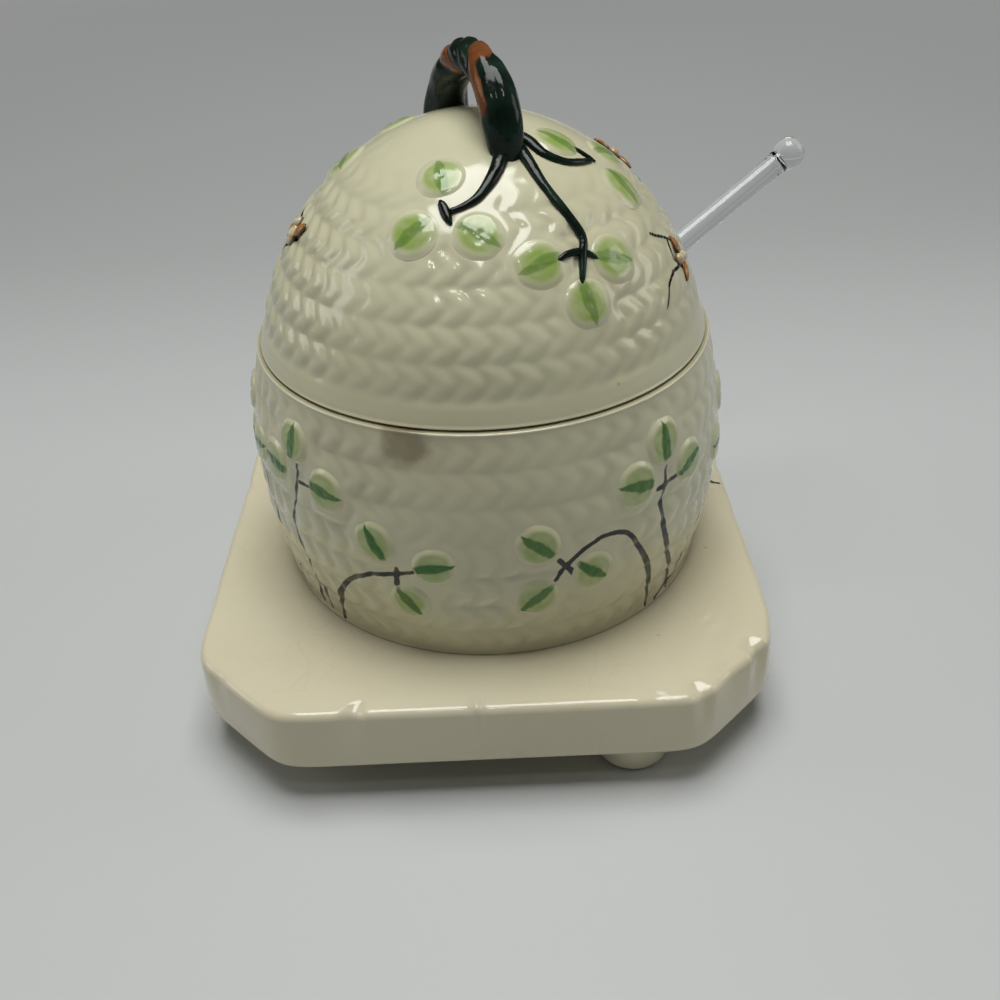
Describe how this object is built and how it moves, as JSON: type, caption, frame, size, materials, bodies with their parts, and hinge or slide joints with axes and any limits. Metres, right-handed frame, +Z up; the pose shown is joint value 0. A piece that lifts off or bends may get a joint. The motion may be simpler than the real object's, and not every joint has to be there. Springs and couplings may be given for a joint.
{
  "type": "honey pot",
  "caption": "Ceramic honey pot shaped like a straw beehive on a square footed stand, with a lift-off domed lid, a branch handle and a glass dipper leaning out of a notch.",
  "frame": {"origin": "on the pot's axis, in the plane that the feet stand on", "axes": "+Z up along the pot's axis, -Y towards the front with the clover sprigs"},
  "size_m": [0.1331, 0.1216, 0.1298],
  "materials": {
    "hive_glaze": "gloss",
    "stand_glaze": "gloss",
    "clover_glaze": "gloss",
    "branch_glaze": "gloss",
    "bee_glaze": "gloss",
    "dipper_glass": "clear"
  },
  "bodies": {
    "pot": {"pot_wall": "hive_glaze", "stand_plate": "stand_glaze", "foot_back": "stand_glaze", "foot_front": "stand_glaze", "foot_left": "stand_glaze", "foot_right": "stand_glaze", "pot_clover_back_left_high": "clover_glaze", "pot_clover_back_left_low": "clover_glaze", "pot_clover_back_right_high": "clover_glaze", "pot_clover_back_right_low": "clover_glaze", "pot_clover_front_left_high": "clover_glaze", "pot_clover_front_left_low": "clover_glaze", "pot_clover_front_right_high": "clover_glaze", "pot_clover_front_right_low": "clover_glaze", "pot_clover_left": "clover_glaze", "pot_clover_right": "clover_glaze"},
    "lid": {"lid_dome": "hive_glaze", "handle": "branch_glaze", "twig_front": "branch_glaze", "twig_front_right": "branch_glaze", "twig_right": "branch_glaze", "lid_clover_back": "clover_glaze", "lid_clover_back_left": "clover_glaze", "lid_clover_front": "clover_glaze", "lid_clover_front_right": "clover_glaze", "lid_clover_left": "clover_glaze", "lid_clover_right": "clover_glaze", "bee_left": "bee_glaze", "bee_right": "bee_glaze", "bee_upper_right": "bee_glaze"},
    "dipper": {"dipper_bulb": "dipper_glass", "dipper_knob": "dipper_glass", "dipper_rod": "dipper_glass"}
  },
  "joints": [
    {"name": "lid_lift", "type": "slide", "parent": "pot", "child": "lid", "axis": [0, 0, 1], "range_m": [0, 0.11]},
    {"name": "dipper_pull", "type": "slide", "parent": "pot", "child": "dipper", "axis": [0.7965, 0.3714, 0.4772], "range_m": [0, 0.078]}
  ]
}
